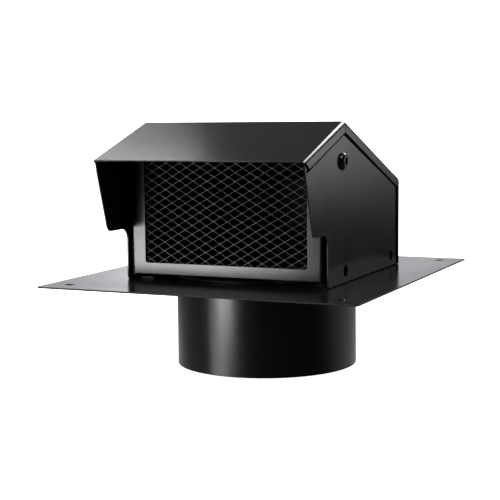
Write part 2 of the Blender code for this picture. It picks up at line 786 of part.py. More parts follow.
def make_peak_fastening(label, side):
    """The domed screw below the ridge, with its spacer, washer and nut."""
    radius = SCREW_SHANK / 2
    hole = radius + SCREW_CLEARANCE
    washer_out = FRAME_HALF - SHEET - GAP
    washer_in = washer_out - WASHER_SHEET
    nut_in = washer_in - GAP - NUT_HEIGHT
    end = nut_in - SCREW_END
    seat = PANEL_HALF + GAP - end
    top = seat + SCREW_HEAD_HEIGHT

    head = [(r, seat + rise) for r, rise in dome(SCREW_TOP / 2, SCREW_HEAD / 2, SCREW_HEAD_HEIGHT)]
    profile = [(0, top), *head, (radius, seat), (radius, 0), (0, 0)]
    screw = turned("peak_screw_" + label, profile, PARTS)
    across = SCREW_SOCKET / math.sqrt(3)
    floor = top - SCREW_SOCKET_DEPTH
    socket = rod("peak_socket_" + label, across, floor, top + CUT, "Z", (0, 0), CUTTERS, 6)
    socket.parent = screw
    cut(screw, socket)
    place_on_peak(screw, end, side)
    screw.data.materials.append(black_steel("screw_steel_" + label))

    spacer_out = PANEL_HALF - SHEET - GAP
    peak_ring("peak_spacer_" + label, SPACER_DIAMETER / 2, hole, FRAME_HALF + GAP, spacer_out, side)
    peak_ring("peak_washer_" + label, WASHER_DIAMETER / 2, hole, washer_in, washer_out, side)

    nut = rod("peak_nut_" + label, NUT_WIDTH / math.sqrt(3), 0, NUT_HEIGHT, "Z", (0, 0), PARTS, 6)
    bore = rod("nut_bore_" + label, hole, -CUT, NUT_HEIGHT + CUT, "Z", (0, 0), CUTTERS)
    bore.parent = nut
    cut(nut, bore)
    place_on_peak(nut, nut_in, side)
    nut.data.materials.append(black_steel("nut_steel_" + label))


def make_rivet(name, place):
    """A domed rivet through a frame tab and the flange, with its tail sunk flush in the underside."""
    shank = RIVET_SHANK / 2
    tail = RIVET_TAIL / 2
    seat = FLANGE_TOP + GAP + SHEET + GAP
    bottom = FLANGE_TOP - FLANGE_SHEET
    head = [(r, seat + rise) for r, rise in dome(0, RIVET_HEAD / 2, RIVET_HEAD_HEIGHT)]
    profile = [*head, (shank, seat), (shank, bottom + RIVET_TAIL_HEIGHT), (tail, bottom), (0, bottom)]
    rivet = turned(name, profile, PARTS, RIVET_STEPS)
    rivet.location = (*place, 0)
    rivet.data.materials.append(black_steel(name + "_steel"))


clear_scene()
PARTS = new_collection("roof_vent_cap")
CUTTERS = new_collection("cutters")

make_flange_plate()
make_collar()
make_screen_frame()
make_mesh_screen()
for side_label, side_sign in SIDES.items():
    make_side_panel(side_label, side_sign)
    make_peak_fastening(side_label, side_sign)
make_roof_cover()
for rivet_name, rivet_place in rivet_places().items():
    make_rivet(rivet_name, rivet_place)
for part in list(PARTS.objects):
    shade_round(part)
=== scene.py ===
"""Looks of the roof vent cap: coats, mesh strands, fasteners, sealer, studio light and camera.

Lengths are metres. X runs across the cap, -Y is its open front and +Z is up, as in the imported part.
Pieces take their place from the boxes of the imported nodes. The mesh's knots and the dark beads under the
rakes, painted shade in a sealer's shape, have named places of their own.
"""

import math

import bmesh
import bpy
from mathutils import Matrix, Quaternion, Vector


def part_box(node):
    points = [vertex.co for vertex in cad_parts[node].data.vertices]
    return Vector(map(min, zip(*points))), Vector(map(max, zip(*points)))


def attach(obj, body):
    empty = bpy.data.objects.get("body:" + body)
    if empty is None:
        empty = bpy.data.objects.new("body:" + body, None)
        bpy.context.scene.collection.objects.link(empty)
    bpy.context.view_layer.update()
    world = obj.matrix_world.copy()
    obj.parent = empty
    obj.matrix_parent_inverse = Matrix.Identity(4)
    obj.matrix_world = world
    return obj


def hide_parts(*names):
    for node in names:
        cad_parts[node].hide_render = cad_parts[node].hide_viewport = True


SIDES = {"right": 1, "left": -1}

# Camera, solved from the photograph: the focal length is in pixels of its frame
CAMERA_PLACE = (0.41844, -0.95453, 0.20958)
CAMERA_YAW = math.radians(24.418)
CAMERA_PITCH = math.radians(6.351)
CAMERA_ROLL = math.radians(-0.593)
CAMERA_SENSOR = 36.0
CAMERA_FOCAL = 1250.6
CAMERA_CLIP = (0.02, 20)
IMAGE_SIDE = 500.0

# Coats: colours, scales of the grain per metre, and what dust, wear, grain and dull places do to them; dull
# places are also darkened as painted shade
BLACK = (0.0045, 0.0047, 0.0051)
WORN = (0.020, 0.0205, 0.021)
CLOUD_SCALE = 14
PATCH_SCALE = 70
CHAFE_SCALE = 220
PEBBLE_SCALE = 1150
FLECK_SCALE = 3600
EDGE_TURN = 0.86
EDGE_SAMPLES = 6
MOST_DUST = 0.5
DUST_LIGHT = 1.7
PAINTED_SHADE_LEVEL = 0.3
DULL_ROUGHNESS = 0.5
GLOSS_DRIFT = 0.025
SCUFF_ROUGHNESS = 0.02
FLECK_ROUGHNESS = 0.02
WORN_POLISH = 0.05
PEBBLE_SHARE = 0.8
PEEL_DEPTH = 0.00012

# Where the coats are dull and darkened as painted shade: how the surface faces, and limits on the part,
# such as the radius in the middle of the collar's wall and the height in the middle of the flange's sheet
DOWNWARD = -0.2
FORWARD = -0.5
INWARD = -0.05
HEM_Y = -0.12
BACK_Y = 0.05
COLLAR_MIDDLE = 0.0746
FLANGE_MIDDLE = 0.0746
FLANGE_HALF_WIDTH = 0.1325
FLANGE_HALF_DEPTH = 0.1450
CUT_EDGE = 0.0003

# How sheets and pieces are welded and smoothed
WELD_DISTANCE = 0.000001
MERGE_DISTANCE = 0.0000001
SMOOTH_ANGLE = 35
FULL_WEIGHT = 100

# Mesh: one knot's x and z and the columns' lean, read from the photograph, and the strand's section
DIAMOND_WIDTH = 0.0122
DIAMOND_HEIGHT = 0.0070
MESH_KNOT = (-0.0035, 0.1273)
MESH_LEAN = 0.0374
MESH_EDGE = 0.0012
MESH_BORDER = 0.0030
BORDER_EASE = 0.00015
STRAND_WIDTH = 0.00052
STRAND_DEPTH = 0.00050
STRAND_EASE = 0.00012
STRAND_TILT = math.radians(6)
STRAND_STEPS = 8
KNOT_HALF = 0.0012
KNOT_STEPS = (-1, -0.5, 0, 0.5, 1)
KNOT_FLAT = 0.09
KNOT_POWER = 5

# Sealer, also painted shade: each rake bead, a dark line of painted shade under a rake's edge, runs from one
# (y, z) to another, with its height at both ends
SEAL_WIDTH = 0.0009
SEAL_STEPS = 12
SEAL_INSET = 0.6
FOOT_SEAL_RISE = 0.56
RAKE_SHADOW_BEAD_RISE = 0.6
RAKE_SHADOW_BEADS = (
    ((-0.1240, 0.16707), (-0.0476, 0.19280), 0.0023, 0.0023),
    ((-0.0476, 0.19260), (0.0870, 0.14260), 0.0020, 0.0012),
)

# Peak screw: radii and heights, the head's edge as (inside its rim, above its seat), and the socket's
# mouth as (beyond its flats, below the top)
ROUND_STEPS = 64
SHANK = 0.0030
BORE = SHANK + 0.0003
THREAD_PITCH = 0.0010
THREAD_DEPTH = 0.00045
THREAD_STEPS = 32
THREAD_ROOT = 1.2
THREAD_FLANK = 0.46
THREAD_CREST = 0.07
THREAD_FADE = 0.5
THREAD_LEAST = 0.05
THREAD_OVERLAP = 0.0001
HEAD_HEIGHT = 0.0030
HEAD_FLAT = 0.0043
HEAD_STEPS = 13
HEAD_INSET = 0.0002
HEAD_RIM = 0.0005
HEAD_ROUND = 0.9
HEAD_EDGE = ((0.00004, 0.0004), (0, 0.00025), (0.0001, 0))
SOCKET = 0.0025
SOCKET_DEPTH = 0.0018
SOCKET_MOUTH = ((0.00035, 0), (0.00010, 0.00012), (0, 0.00035))
SOCKET_TAPER = 0.8
SOCKET_TAPER_DEPTH = 0.0001
SOCKET_POINT = 0.0006

# Spacer, washer and nut
SPACER_EASE = 0.0002
WASHER_EASE = 0.0001
RING_CORNER = 0.3
NUT_STEPS = 72
NUT_LEVELS = (0, 0.0001, 0.0002, 0.0004, 0.0006, 0.0009)
NUT_FACE = 0.97
NUT_CONE = 1.7
NUT_EASE = 0.0003
NUT_TURNS = 5
NUT_GROOVES = (0.00025, 0.00003)

# Blind rivet: a low dome round a broken-off pin, which is given as (radius, below the top), and a
# shank with a spread tail
RIVET_STEPS = 48
RIVET_DOME_STEPS = 12
RIVET_HEAD_HEIGHT = 0.0013
RIVET_SHANK = 0.0016
RIVET_TAIL = 0.0026
RIVET_TAIL_HEIGHT = 0.0007
RIVET_RIM = 0.0003
RIVET_INSET = 0.0001
RIVET_ANGLE = 50
PIN = 0.0009
PIN_MOUTH = PIN + 0.0004
PIN_PROFILE = (
    (0, 0.00045),
    (PIN * 0.7, 0.0004),
    (PIN, 0.00055),
    (PIN + 0.0001, 0.0006),
    (PIN + 0.00025, 0.0001),
    (PIN_MOUTH, 0),
)

# Studio: tints, the world's levels, and the points that the softboxes face
LIGHT_TINT = (0.965, 0.975, 1.0)
WORLD_TINT = (0.955, 0.97, 1.0, 1.0)
WORLD_LEAST = 0.012
WORLD_SEEN = 2.0
LEAST_DEPTH = 0.05
NEAR_PART = 0.60
WINDOW_FOOT = (-0.012, -0.08, 0.08)
SILL_MIDDLE = (-0.015, -0.08, 0.08)
EAVE_LEFT = (-0.08, -0.09, 0.12)
COLLAR_LOW = (0, 0, 0.03)
HOOD_MIDDLE = (0, 0, 0.13)
FLOOR_HALF = 3.0
FLOOR_CELLS = 8
FLOOR_DROP = 0.0002
FLOOR_GLOW = 1.1


def link(tree, output, target):
    tree.links.new(output, target)


def new_node(tree, kind, **settings):
    node = tree.nodes.new(kind)
    for name, value in settings.items():
        setattr(node, name, value)
    return node


def noise(tree, place, scale, detail, rough):
    node = new_node(tree, "ShaderNodeTexNoise")
    node.inputs["Scale"].default_value = scale
    node.inputs["Detail"].default_value = detail
    node.inputs["Roughness"].default_value = rough
    link(tree, place, node.inputs["Vector"])
    return node.outputs["Fac"]


def remap(tree, value, span, result=(0.0, 1.0)):
    """Carries a value's span over to the result's two ends, with a soft start and end."""
    node = new_node(tree, "ShaderNodeMapRange", interpolation_type="SMOOTHSTEP")
    for label, number in zip(("From Min", "From Max", "To Min", "To Max"), (*span, *result)):
        node.inputs[label].default_value = number
    link(tree, value, node.inputs["Value"])
    return node.outputs["Result"]


def calc(tree, operation, first, second):
    node = new_node(tree, "ShaderNodeMath", operation=operation)
    for socket, value in zip(node.inputs, (first, second)):
        if isinstance(value, (int, float)):
            socket.default_value = value
        else:
            link(tree, value, socket)
    return node.outputs["Value"]


def add(tree, first, *others):
    for other in others:
        first = calc(tree, "ADD", first, other)
    return first


def times(tree, first, *others):
    for other in others:
        first = calc(tree, "MULTIPLY", first, other)
    return first


def either(tree, first, *others):
    """The greatest of several shares."""
    for other in others:
        first = calc(tree, "MAXIMUM", first, other)
    return first


def split(tree, vector):
    """A vector's X, Y and Z."""
    node = new_node(tree, "ShaderNodeSeparateXYZ")
    link(tree, vector, node.inputs[0])
    return node.outputs["X"], node.outputs["Y"], node.outputs["Z"]


def blend_colour(tree, share, first, second):
    node = new_node(tree, "ShaderNodeMix", data_type="RGBA")
    for socket, value in ((node.inputs[0], share), (node.inputs[6], first), (node.inputs[7], second)):
        if isinstance(value, tuple):
            socket.default_value = value
        else:
            link(tree, value, socket)
    return node.outputs[2]


def edge_share(tree, radius):
    """How near a point is to an edge, from the turn of the rounded normal, and that rounded normal."""
    rounded = new_node(tree, "ShaderNodeBevel", samples=EDGE_SAMPLES)
    rounded.inputs["Radius"].default_value = radius
    shape = new_node(tree, "ShaderNodeNewGeometry")
    turn = new_node(tree, "ShaderNodeVectorMath", operation="DOT_PRODUCT")
    link(tree, rounded.outputs["Normal"], turn.inputs[0])
    link(tree, shape.outputs["Normal"], turn.inputs[1])
    return remap(tree, turn.outputs["Value"], (1.0, EDGE_TURN)), rounded.outputs["Normal"]


def inward_dull_and_painted_shade_share(tree, place):
    """One on the faces that look into the hood, its underside, back wall and inner sides, which the coat
    dulls and darkens as painted shade.
    """
    x, y, _ = split(tree, place)
    turn_x, turn_y, turn_z = split(tree, new_node(tree, "ShaderNodeNewGeometry").outputs["Normal"])
    under = times(tree, calc(tree, "LESS_THAN", turn_z, DOWNWARD), calc(tree, "GREATER_THAN", y, HEM_Y))
    back = times(tree, calc(tree, "LESS_THAN", turn_y, FORWARD), calc(tree, "GREATER_THAN", y, BACK_Y))
    side = calc(tree, "LESS_THAN", times(tree, turn_x, x), INWARD)
    return either(tree, under, back, side)


def bore_dull_and_painted_shade_share(tree, place):
    """One inside the duct collar and on its rim, where the coat is dulled and darkened as painted shade."""
    x, y, z = split(tree, place)
    flat = new_node(tree, "ShaderNodeCombineXYZ")
    link(tree, x, flat.inputs["X"])
    link(tree, y, flat.inputs["Y"])
    radius = new_node(tree, "ShaderNodeVectorMath", operation="LENGTH")
    link(tree, flat.outputs["Vector"], radius.inputs[0])
    inside = calc(tree, "LESS_THAN", radius.outputs["Value"], COLLAR_MIDDLE)
    return either(tree, inside, calc(tree, "GREATER_THAN", z, FLANGE_MIDDLE))


def cut_edge_dull_and_painted_shade_share(tree, place):
    """One on the flange's sheared outer edges, which the coat dulls and darkens as painted shade."""
    x, y, _ = split(tree, place)
    across = calc(tree, "GREATER_THAN", calc(tree, "ABSOLUTE", x, 0.0), FLANGE_HALF_WIDTH - CUT_EDGE)
    along = calc(tree, "GREATER_THAN", calc(tree, "ABSOLUTE", y, 0.0), FLANGE_HALF_DEPTH - CUT_EDGE)
    return either(tree, across, along)


def coat(name, roughness, base=BLACK, worn=WORN, grain=1.0, edge=0.00045, peel=0.16, dull_and_painted_shade_at=None, ior=1.5):
    """Satin powder coat: fine peel, uneven gloss, faint dust, paler worn edges, and dull and darkened as
    painted shade where the given mask is one.
    """
    material = bpy.data.materials.new(name)
    material.use_nodes = True
    tree = material.node_tree
    shader = tree.nodes["Principled BSDF"]
    place = new_node(tree, "ShaderNodeTexCoord").outputs["Object"]
    dull_and_painted_shade = dull_and_painted_shade_at(tree, place) if dull_and_painted_shade_at else None
    edges, normal = edge_share(tree, edge)

    cloud = noise(tree, place, CLOUD_SCALE, 3, 0.55)
    patches = noise(tree, place, PATCH_SCALE, 4, 0.6)
    chafe = noise(tree, place, CHAFE_SCALE, 3, 0.6)
    pebble = noise(tree, place, PEBBLE_SCALE / grain, 2, 0.5)
    fleck = noise(tree, place, FLECK_SCALE / grain, 1, 0.5)

    wear = times(tree, edges, remap(tree, chafe, (0.42, 0.62), (0.25, 1.0)))
    dusty = remap(tree, cloud, (0.42, 0.7), (0.0, MOST_DUST))
    dusty = times(tree, dusty, remap(tree, fleck, (0.45, 0.75), (0.2, 1.0)))
    tone = blend_colour(tree, dusty, (*base, 1.0), (*(c * DUST_LIGHT for c in base), 1.0))
    tone = blend_colour(tree, wear, tone, (*worn, 1.0))
    # Painted shade: where the mask is one, the colour is darkened to a share of the base colour.
    if dull_and_painted_shade:
        tone = blend_colour(tree, dull_and_painted_shade, tone, (*(c * PAINTED_SHADE_LEVEL for c in base), 1.0))
    link(tree, tone, shader.inputs["Base Color"])

    gloss = remap(tree, cloud, (0.3, 0.7), (roughness - GLOSS_DRIFT, roughness + GLOSS_DRIFT))
    scuffs = times(tree, remap(tree, patches, (0.55, 0.75)), SCUFF_ROUGHNESS)
    flecks = remap(tree, fleck, (0.3, 0.7), (-FLECK_ROUGHNESS, FLECK_ROUGHNESS))
    gloss = add(tree, gloss, scuffs, flecks)
    gloss = calc(tree, "SUBTRACT", gloss, times(tree, wear, WORN_POLISH))
    if dull_and_painted_shade:
        gloss = add(tree, gloss, times(tree, dull_and_painted_shade, DULL_ROUGHNESS))
    link(tree, gloss, shader.inputs["Roughness"])

    bump = new_node(tree, "ShaderNodeBump")
    bump.inputs["Strength"].default_value = peel
    bump.inputs["Distance"].default_value = PEEL_DEPTH
    height = add(tree, times(tree, pebble, PEBBLE_SHARE), times(tree, fleck, 1 - PEBBLE_SHARE))
    link(tree, height, bump.inputs["Height"])
    link(tree, normal, bump.inputs["Normal"])
    link(tree, bump.outputs["Normal"], shader.inputs["Normal"])
    shader.inputs["IOR"].default_value = ior
    return material


COATS = {
    "flange_coat": coat("flange_powder_coat", 0.20, peel=0.07, dull_and_painted_shade_at=cut_edge_dull_and_painted_shade_share),
    "collar_coat": coat("collar_powder_coat", 0.26, dull_and_painted_shade_at=bore_dull_and_painted_shade_share),
    "frame_coat": coat("frame_powder_coat", 0.22),
    # The mesh's coat is ten times paler than the other black coats: painted light that brightens its strands
    # as if lit.
    "mesh_coat": coat(
        "mesh_powder_coat_painted_lighter",
        0.27,
        base=(0.045, 0.046, 0.048),
        worn=(0.07, 0.071, 0.073),
        grain=0.7,
        edge=0.0002,
        peel=0.12,
    ),
    "hood_coat": coat("hood_powder_coat", 0.20, edge=0.00025, dull_and_painted_shade_at=inward_dull_and_painted_shade_share),
    "fastener_black": coat(
        "fastener_black_oxide",
        0.17,
        base=(0.008, 0.0082, 0.0085),
        worn=(0.03, 0.03, 0.03),
        grain=0.6,
        edge=0.0002,
        peel=0.08,
    ),
}
# Near-black, barely mirroring sealer: a seam sealer whose coat is also painted shade, drawing shadow lines at
# the joints it fills.
SEALER_PAINTED_SHADE = coat(
    "seam_sealer_painted_shade",
    0.85,
    base=(0.0030, 0.0031, 0.0033),
    worn=(0.006, 0.006, 0.006),
    grain=0.8,
    edge=0.0002,
    peel=0.3,
    ior=1.04,
)


def dress_frame():
    """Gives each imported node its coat, and even normals that stay sharp at its folds."""
    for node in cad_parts.values():
        for place in node.material_slots:
            place.material = COATS[place.material.name]
        weld = node.modifiers.new("joined_corners", "WELD")
        weld.merge_threshold = WELD_DISTANCE
        parted = node.modifiers.new("sharp_edges", "EDGE_SPLIT")
        parted.split_angle = math.radians(SMOOTH_ANGLE)
        even = node.modifiers.new("even_normals", "WEIGHTED_NORMAL")
        even.keep_sharp = False
        even.weight = FULL_WEIGHT


def finish_piece(mesh, name, slot, nodes=(), smooth_angle=SMOOTH_ANGLE, material=None):
    """Makes an object of a bmesh, smooth between flat faces, riding on the frame in place of its nodes."""
    bmesh.ops.remove_doubles(mesh, verts=mesh.verts, dist=MERGE_DISTANCE)
    bmesh.ops.recalc_face_normals(mesh, faces=mesh.faces)
    data = bpy.data.meshes.new(name)
    mesh.to_mesh(data)
    mesh.free()
    data.shade_smooth()
    data.set_sharp_from_angle(angle=math.radians(smooth_angle))
    data.materials.append(material or COATS[slot])
    piece = bpy.data.objects.new(name, data)
    bpy.context.scene.collection.objects.link(piece)
    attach(piece, "root")
    if nodes:
        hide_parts(*nodes)


def join_rings(mesh, near, far):
    """Closes the strip between two rings of as many points."""
    for i in range(len(near)):
        j = (i + 1) % len(near)
        mesh.faces.new((near[i], near[j], far[j], far[i]))


def join_bar(mesh, rings):
    """Closes a run of rings, with a face at each end."""
    for near, far in zip(rings, rings[1:]):
        join_rings(mesh, near, far)
    mesh.faces.new(rings[0])
    mesh.faces.new(list(reversed(rings[-1])))


def strand_line(start, width, rise):
    """Points (x, z) of one strand from knot to knot: nearly level at each knot and sloping between them."""
    points = [start]
    for step in range(1, STRAND_STEPS):
        share = step / STRAND_STEPS
        lean = (share - 0.5) * 2
        eased = 0.5 + 0.5 * lean * (1 - KNOT_FLAT * abs(lean) ** KNOT_POWER)
        points.append((start[0] + width * share, start[1] + rise * eased))
    points.append((start[0] + width, start[1] + rise))
    return points


def add_strand(mesh, points, middle_y):
    """Sweeps a tilted bar with eased corners along points in the mesh's plane."""
    half_w, half_d, ease = STRAND_WIDTH / 2, STRAND_DEPTH / 2, STRAND_EASE
    outline = [
        (-half_w, -half_d + ease),
        (-half_w + ease, -half_d),
        (half_w - ease, -half_d),
        (half_w, -half_d + ease),
        (half_w, half_d - ease),
        (half_w - ease, half_d),
        (-half_w + ease, half_d),
        (-half_w, half_d - ease),
    ]
    depth = Vector((0, 1, 0))
    rings = []
    for index, (x, z) in enumerate(points):
        before = points[max(index - 1, 0)]
        after = points[min(index + 1, len(points) - 1)]
        along = Vector((after[0] - before[0], 0, after[1] - before[1])).normalized()
        across = Vector((-along.z, 0, along.x))
        first = across * math.cos(STRAND_TILT) + depth * math.sin(STRAND_TILT)
        second = depth * math.cos(STRAND_TILT) - across * math.sin(STRAND_TILT)
        centre = Vector((x, middle_y, z))
        rings.append([mesh.verts.new(centre + first * a + second * b) for a, b in outline])
    join_bar(mesh, rings)


def add_block(mesh, low, high):
    """A bar with eased edges, used for the mesh's border."""
    made = bmesh.ops.create_cube(mesh, size=1.0)["verts"]
    size = Vector(high) - Vector(low)
    middle = (Vector(high) + Vector(low)) / 2
    for vert in made:
        vert.co = Matrix.Diagonal(size) @ vert.co + middle
    edges = list({edge for vert in made for edge in vert.link_edges})
    bmesh.ops.bevel(mesh, geom=edges, offset=BORDER_EASE, segments=2, affect="EDGES")


def build_mesh():
    """Raised expanded mesh: strands that run from knot to knot, bonded at each knot, in a flat border."""
    low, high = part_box("mesh_screen")
    middle_y = (low.y + high.y) / 2
    mesh = bmesh.new()
    step_x, step_z = DIAMOND_WIDTH / 2, DIAMOND_HEIGHT / 2
    lean = MESH_LEAN * step_z
    columns = math.ceil((high.x - low.x) / step_x)
    rows = math.ceil((high.z - low.z) / step_z)

    def inside(x, z):
        return low.x + MESH_EDGE < x < high.x - MESH_EDGE and low.z + MESH_EDGE < z < high.z - MESH_EDGE

    for row in range(-rows, rows + 1):
        for column in range(-columns, columns + 1):
            x = MESH_KNOT[0] + column * step_x + row * lean
            z = MESH_KNOT[1] + row * step_z
            if (row + column) % 2 or not inside(x, z):
                continue
            for way in (1, -1):
                width, rise = step_x + way * lean, way * step_z
                if inside(x + width, z + rise):
                    add_strand(mesh, strand_line((x, z), width, rise), middle_y)
            add_strand(mesh, [(x + KNOT_HALF * share, z) for share in KNOT_STEPS], middle_y)
    add_block(mesh, low, (high.x, high.y, low.z + MESH_BORDER))
    add_block(mesh, (low.x, low.y, high.z - MESH_BORDER), high)
    add_block(mesh, low, (low.x + MESH_BORDER, high.y, high.z))
    add_block(mesh, (high.x - MESH_BORDER, low.y, low.z), high)
    finish_piece(mesh, "expanded_mesh", "mesh_coat", ["mesh_screen"])


def six_sided(size):
    """The radius at an angle of a hexagon with its flats at size from the middle."""
    return lambda angle: size / math.cos((angle % (math.pi / 3)) - math.pi / 6)


def turned(mesh, profile, steps=ROUND_STEPS, ring_closed=False):
    """Turns (radius, height) points about Z, where a radius may be a function of the angle."""
    rings = []
    for radius, height in profile:
        if radius == 0:
            rings.append([mesh.verts.new((0, 0, height))])
            continue
        ring = []
        for i in range(steps):
            angle = math.tau * i / steps
            reach = radius(angle) if callable(radius) else radius
            ring.append(mesh.verts.new((reach * math.cos(angle), reach * math.sin(angle), height)))
        rings.append(ring)
    if ring_closed:
        rings.append(rings[0])
    for near, far in zip(rings, rings[1:]):
        for i in range(steps):
            j = (i + 1) % steps
            corners = [near[i % len(near)], near[j % len(near)], far[j % len(far)], far[i % len(far)]]
            mesh.faces.new(list(dict.fromkeys(corners)))


def add_thread(mesh, low, high):
    """The screw's thread as one swept ridge over a plain core."""
    core = SHANK - THREAD_DEPTH
    root = SHANK - THREAD_DEPTH * THREAD_ROOT
    turned(mesh, [(0, low), (core, low + THREAD_DEPTH / 2), (core, high), (0, high)], THREAD_STEPS)
    count = int((high - low - THREAD_PITCH) / THREAD_PITCH * THREAD_STEPS)
    rings = []
    for i in range(count + 1):
        angle = math.tau * i / THREAD_STEPS
        height = low + THREAD_PITCH * (0.5 + i / THREAD_STEPS)
        fade = min(1.0, min(i, count - i) / (THREAD_STEPS * THREAD_FADE))
        crest = SHANK - THREAD_DEPTH * (1 - max(fade, THREAD_LEAST))
        section = [(root, -THREAD_FLANK), (crest, -THREAD_CREST), (crest, THREAD_CREST), (root, THREAD_FLANK)]
        rings.append([
            mesh.verts.new((reach * math.cos(angle), reach * math.sin(angle), height + THREAD_PITCH * share))
            for reach, share in section
        ])
    join_bar(mesh, rings)


def face_outwards(mesh, side):
    """Turns a piece built along Z onto the peak screw's axis."""
    low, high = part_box("peak_screw_right")
    turn = Matrix.Rotation(side * math.pi / 2, 4, "Y")
    axis = Matrix.Translation((0, (low.y + high.y) / 2, (low.z + high.z) / 2))
    bmesh.ops.transform(mesh, matrix=axis @ turn, verts=mesh.verts)


def span_of(node, side):
    """A node's nearest and farthest distance from the middle along X, and its radius."""
    low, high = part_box(node)
    near, far = (low.x, high.x) if side > 0 else (-high.x, -low.x)
    return near, far, (high.y - low.y) / 2


def build_screw(label, side):
    """Button-head screw: a dome round a flat top with a hexagonal socket, and a threaded shank."""
    start, top, head = span_of("peak_screw_" + label, side)
    seat = top - HEAD_HEIGHT
    floor = top - SOCKET_DEPTH
    profile = [(0, floor - SOCKET_POINT), (six_sided(SOCKET * SOCKET_TAPER), floor - SOCKET_TAPER_DEPTH)]
    profile.append((six_sided(SOCKET), floor))
    profile += [(six_sided(SOCKET + beyond), top - below) for beyond, below in reversed(SOCKET_MOUTH)]
    profile.append((HEAD_FLAT, top))
    for step in range(1, HEAD_STEPS):
        turn = step / HEAD_STEPS * math.pi / 2
        radius = HEAD_FLAT + (head - HEAD_INSET - HEAD_FLAT) * math.sin(turn)
        profile.append((radius, top - (HEAD_HEIGHT - HEAD_RIM) * (1 - math.cos(turn)) ** HEAD_ROUND))
    profile += [(head - inside, seat + above) for inside, above in HEAD_EDGE]
    profile.append((SHANK, seat))
    mesh = bmesh.new()
    turned(mesh, profile)
    add_thread(mesh, start, seat + THREAD_OVERLAP)
    face_outwards(mesh, side)
    finish_piece(mesh, "button_screw_" + label, "fastener_black", ["peak_screw_" + label])


def build_ring(node, name, side, ease):
    """Spacer or washer: a plain ring with eased edges."""
    start, end, outer = span_of(node, side)
    near_edge = ease * RING_CORNER
    profile = [
        (BORE, start + ease),
        (BORE + ease, start),
        (outer - ease, start),
        (outer - near_edge, start + near_edge),
        (outer, start + ease),
        (outer, end - ease),
        (outer - near_edge, end - near_edge),
        (outer - ease, end),
        (BORE + ease, end),
        (BORE, end - ease),
    ]
    mesh = bmesh.new()
    turned(mesh, profile, ring_closed=True)
    face_outwards(mesh, side)
    finish_piece(mesh, name, "fastener_black", [node])


def build_nut(label, side):
    """Hexagon nut with cone-cut corners and a threaded hole."""
    node = "peak_nut_" + label
    start, end, _ = span_of(node, side)
    low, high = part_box(node)
    flat = max(high.y - low.y, high.z - low.z) / 2 * math.cos(math.pi / 6)
    wall = six_sided(flat)

    def cone(height):
        reach = flat * NUT_FACE + min(height - start, end - height) * NUT_CONE
        return lambda angle: min(wall(angle), reach)

    profile = [(BORE, start + NUT_EASE), (BORE + NUT_EASE, start)]
    profile += [(cone(start + level), start + level) for level in NUT_LEVELS]
    profile += [(cone(end - level), end - level) for level in reversed(NUT_LEVELS)]
    profile += [(BORE + NUT_EASE, end), (BORE, end - NUT_EASE)]
    ridges = NUT_TURNS * 2 + 1
    for k in range(ridges):
        height = end - NUT_EASE - (end - start - 2 * NUT_EASE) * (k + 0.5) / ridges
        profile.append((BORE + NUT_GROOVES[k % 2], height))
    mesh = bmesh.new()
    turned(mesh, profile, NUT_STEPS, ring_closed=True)
    face_outwards(mesh, side)
    finish_piece(mesh, "hex_nut_" + label, "fastener_black", [node])


def build_rivet(node):
    """Blind rivet: low dome with a broken-off pin in its middle, and its flush tail."""
    low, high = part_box(node)
    head = (high.x - low.x) / 2
    top = high.z
    seat = top - RIVET_HEAD_HEIGHT
    profile = [(radius, top - below) for radius, below in PIN_PROFILE]
    for step in range(1, RIVET_DOME_STEPS + 1):
        turn = step / RIVET_DOME_STEPS * math.pi / 2
        radius = PIN_MOUTH + (head - RIVET_INSET - PIN_MOUTH) * math.sin(turn)
        profile.append((radius, top - (RIVET_HEAD_HEIGHT - RIVET_RIM) * (1 - math.cos(turn))))
    profile += [(head, seat + RIVET_RIM / 2), (head - RIVET_INSET, seat), (RIVET_SHANK, seat)]
    profile += [(RIVET_SHANK, low.z + RIVET_TAIL_HEIGHT), (RIVET_TAIL, low.z), (0, low.z)]
    mesh = bmesh.new()
    turned(mesh, profile, RIVET_STEPS)
    place = Matrix.Translation(((low.x + high.x) / 2, (low.y + high.y) / 2, 0))
    bmesh.ops.transform(mesh, matrix=place, verts=mesh.verts)
    name = node.replace("frame_", "blind_")
    finish_piece(mesh, name, "fastener_black", [node], smooth_angle=RIVET_ANGLE)


def add_bead(mesh, ovals):
    """Joins ovals, each a centre with its two half axes, into one closed bead."""
    turns = [math.tau * i / SEAL_STEPS for i in range(SEAL_STEPS)]
    join_bar(mesh, [
        [mesh.verts.new(centre + across * math.cos(turn) + rise * math.sin(turn)) for turn in turns]
        for centre, across, rise in ovals
    ])


def build_foot_seal():
    """A thin bead of sealer that closes the seam between the hood's foot and the flange on three sides; its
    near-black, barely mirroring coat is also painted shade for the dark line at the seam.
    """
    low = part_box("side_panel_left")[0]
    floor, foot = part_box("flange_plate")[1].z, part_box("roof_cover")[0].z
    left = low.x + SEAL_WIDTH * SEAL_INSET
    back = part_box("roof_cover")[1].y - SEAL_WIDTH * SEAL_INSET
    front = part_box("screen_frame")[0].y + SEAL_WIDTH
    corners = ((left, front), (left, back), (-left, back), (-left, front))
    route = [Vector((x, y, (floor + foot) / 2)) for x, y in corners]
    rise = Vector((0, 0, (foot - floor) * FOOT_SEAL_RISE))
    ovals = []
    for index, point in enumerate(route):
        along = (route[min(index + 1, 3)] - route[max(index - 1, 0)]).normalized()
        mitre = math.sqrt(2) if 0 < index < 3 else 1
        ovals.append((point, Vector((-along.y, along.x, 0)) * SEAL_WIDTH / 2 * mitre, rise))
    mesh = bmesh.new()
    add_bead(mesh, ovals)
    finish_piece(mesh, "foot_seal_painted_shade", "hood_coat", material=SEALER_PAINTED_SHADE)


